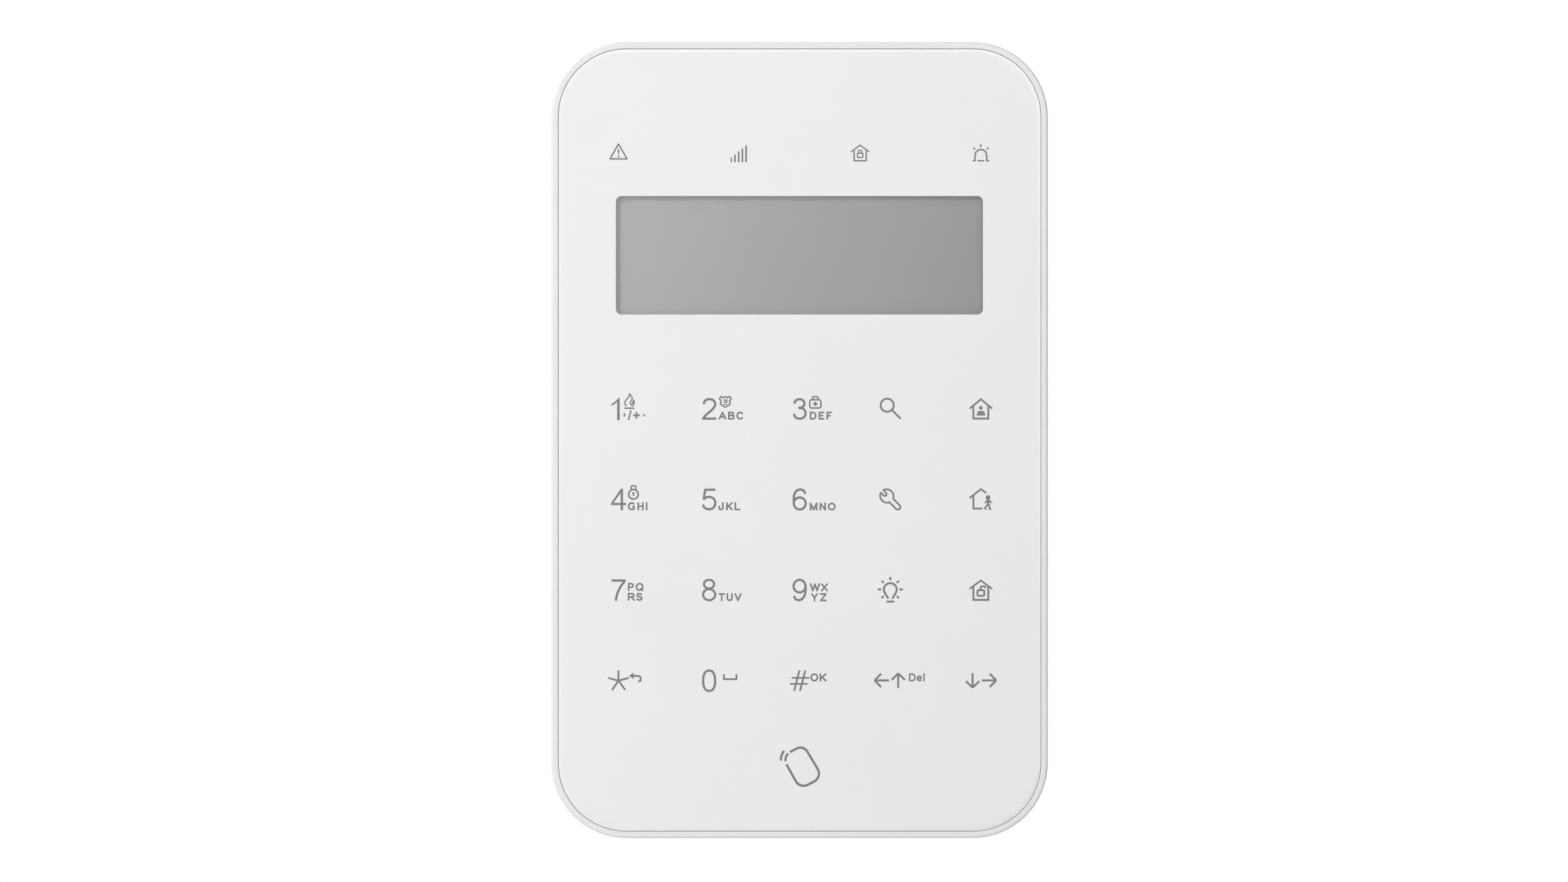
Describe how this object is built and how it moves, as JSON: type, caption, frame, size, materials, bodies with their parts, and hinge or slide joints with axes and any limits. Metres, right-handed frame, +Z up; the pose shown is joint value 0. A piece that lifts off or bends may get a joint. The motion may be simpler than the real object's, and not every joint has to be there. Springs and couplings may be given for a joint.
{
  "type": "alarm keypad panel",
  "caption": "Upright wall-mounted alarm keypad: flush glossy touch face with a recessed display window, thin framed case with a battery bay, hooked on a screw-fixed wall plate.",
  "frame": {"origin": "middle of the wall plate's four corner screw holes, on the wall plane", "axes": "+Z up, -Y out of the wall through the face, +X to the right of somebody facing the keys; the wall is the plane Y = 0"},
  "size_m": [0.104, 0.0234, 0.1668],
  "materials": {
    "face_panel": "satin",
    "shell_plastic": "satin",
    "plate_plastic": "matte",
    "clear_lens": "gloss",
    "adhesive_film": "matte",
    "white_film": "matte",
    "touch_sheet": "satin",
    "board_laminate": "satin",
    "led_resin": "gloss",
    "black_resin": "satin",
    "tinned_steel": "satin",
    "copper": "satin",
    "can_aluminium": "satin",
    "ferrite": "matte",
    "display_face": "gloss",
    "light_guide": "satin",
    "amber_film": "gloss",
    "ivory_plastic": "satin",
    "plunger_plastic": "satin",
    "spring_steel": "satin",
    "button_plastic": "satin",
    "knob_plastic": "satin",
    "green_plastic": "satin",
    "cell_wrap": "gloss",
    "nickel_plate": "satin",
    "screw_steel": "satin",
    "brass_insert": "satin"
  },
  "bodies": {
    "wall_plate": {"wall_plate": "plate_plastic", "lock_insert": "brass_insert"},
    "case": {"front_panel": "face_panel", "display_lens": "clear_lens", "panel_adhesive": "adhesive_film", "front_frame": "shell_plastic", "rear_case": "shell_plastic", "case_screws": "screw_steel", "light_baffle": "white_film", "diffuser_sheet": "white_film", "touch_film": "touch_sheet", "main_board": "board_laminate", "key_leds": "led_resin", "status_leds": "led_resin", "card_led": "led_resin", "processor_chip": "black_resin", "radio_shield": "tinned_steel", "radio_antenna": "copper", "sounder": "black_resin", "capacitors": "can_aluminium", "card_coil": "copper", "ferrite_sheet": "ferrite", "display_glass": "display_face", "display_backlight": "light_guide", "display_bezel": "tinned_steel", "display_ribbon": "amber_film", "ribbon_connector": "ivory_plastic", "tamper_switch": "black_resin", "tamper_spring": "spring_steel", "reset_switch": "black_resin", "power_switch": "tinned_steel", "terminal_block": "green_plastic", "terminal_screws": "screw_steel", "battery_cell_1": "cell_wrap", "battery_cell_2": "cell_wrap", "battery_cell_3": "cell_wrap", "battery_cell_4": "cell_wrap", "contact_plates": "nickel_plate", "contact_springs": "nickel_plate"},
    "lock_screw": {"lock_screw": "screw_steel"},
    "tamper_plunger": {"tamper_plunger": "plunger_plastic"},
    "reset_button": {"reset_button": "button_plastic"},
    "power_knob": {"power_knob": "knob_plastic"}
  },
  "joints": [
    {"name": "case_swing", "type": "hinge", "parent": "wall_plate", "child": "case", "pos_m": [0, -0.0034, 0.0745], "axis": [-1, 0, 0], "range_deg": [0, 30]},
    {"name": "lock_screw_travel", "type": "slide", "parent": "case", "child": "lock_screw", "axis": [0, 0, 1], "range_m": [0, 0.0032]},
    {"name": "tamper_press", "type": "slide", "parent": "case", "child": "tamper_plunger", "axis": [0, 1, 0], "range_m": [0, 0.0016], "stiffness_N_per_m": 300, "deforming": ["tamper_spring"]},
    {"name": "reset_press", "type": "slide", "parent": "case", "child": "reset_button", "axis": [0, -1, 0], "range_m": [0, 0.0003], "stiffness_N_per_m": 2000},
    {"name": "power_slide", "type": "slide", "parent": "case", "child": "power_knob", "axis": [1, 0, 0], "range_m": [0, 0.002]}
  ]
}
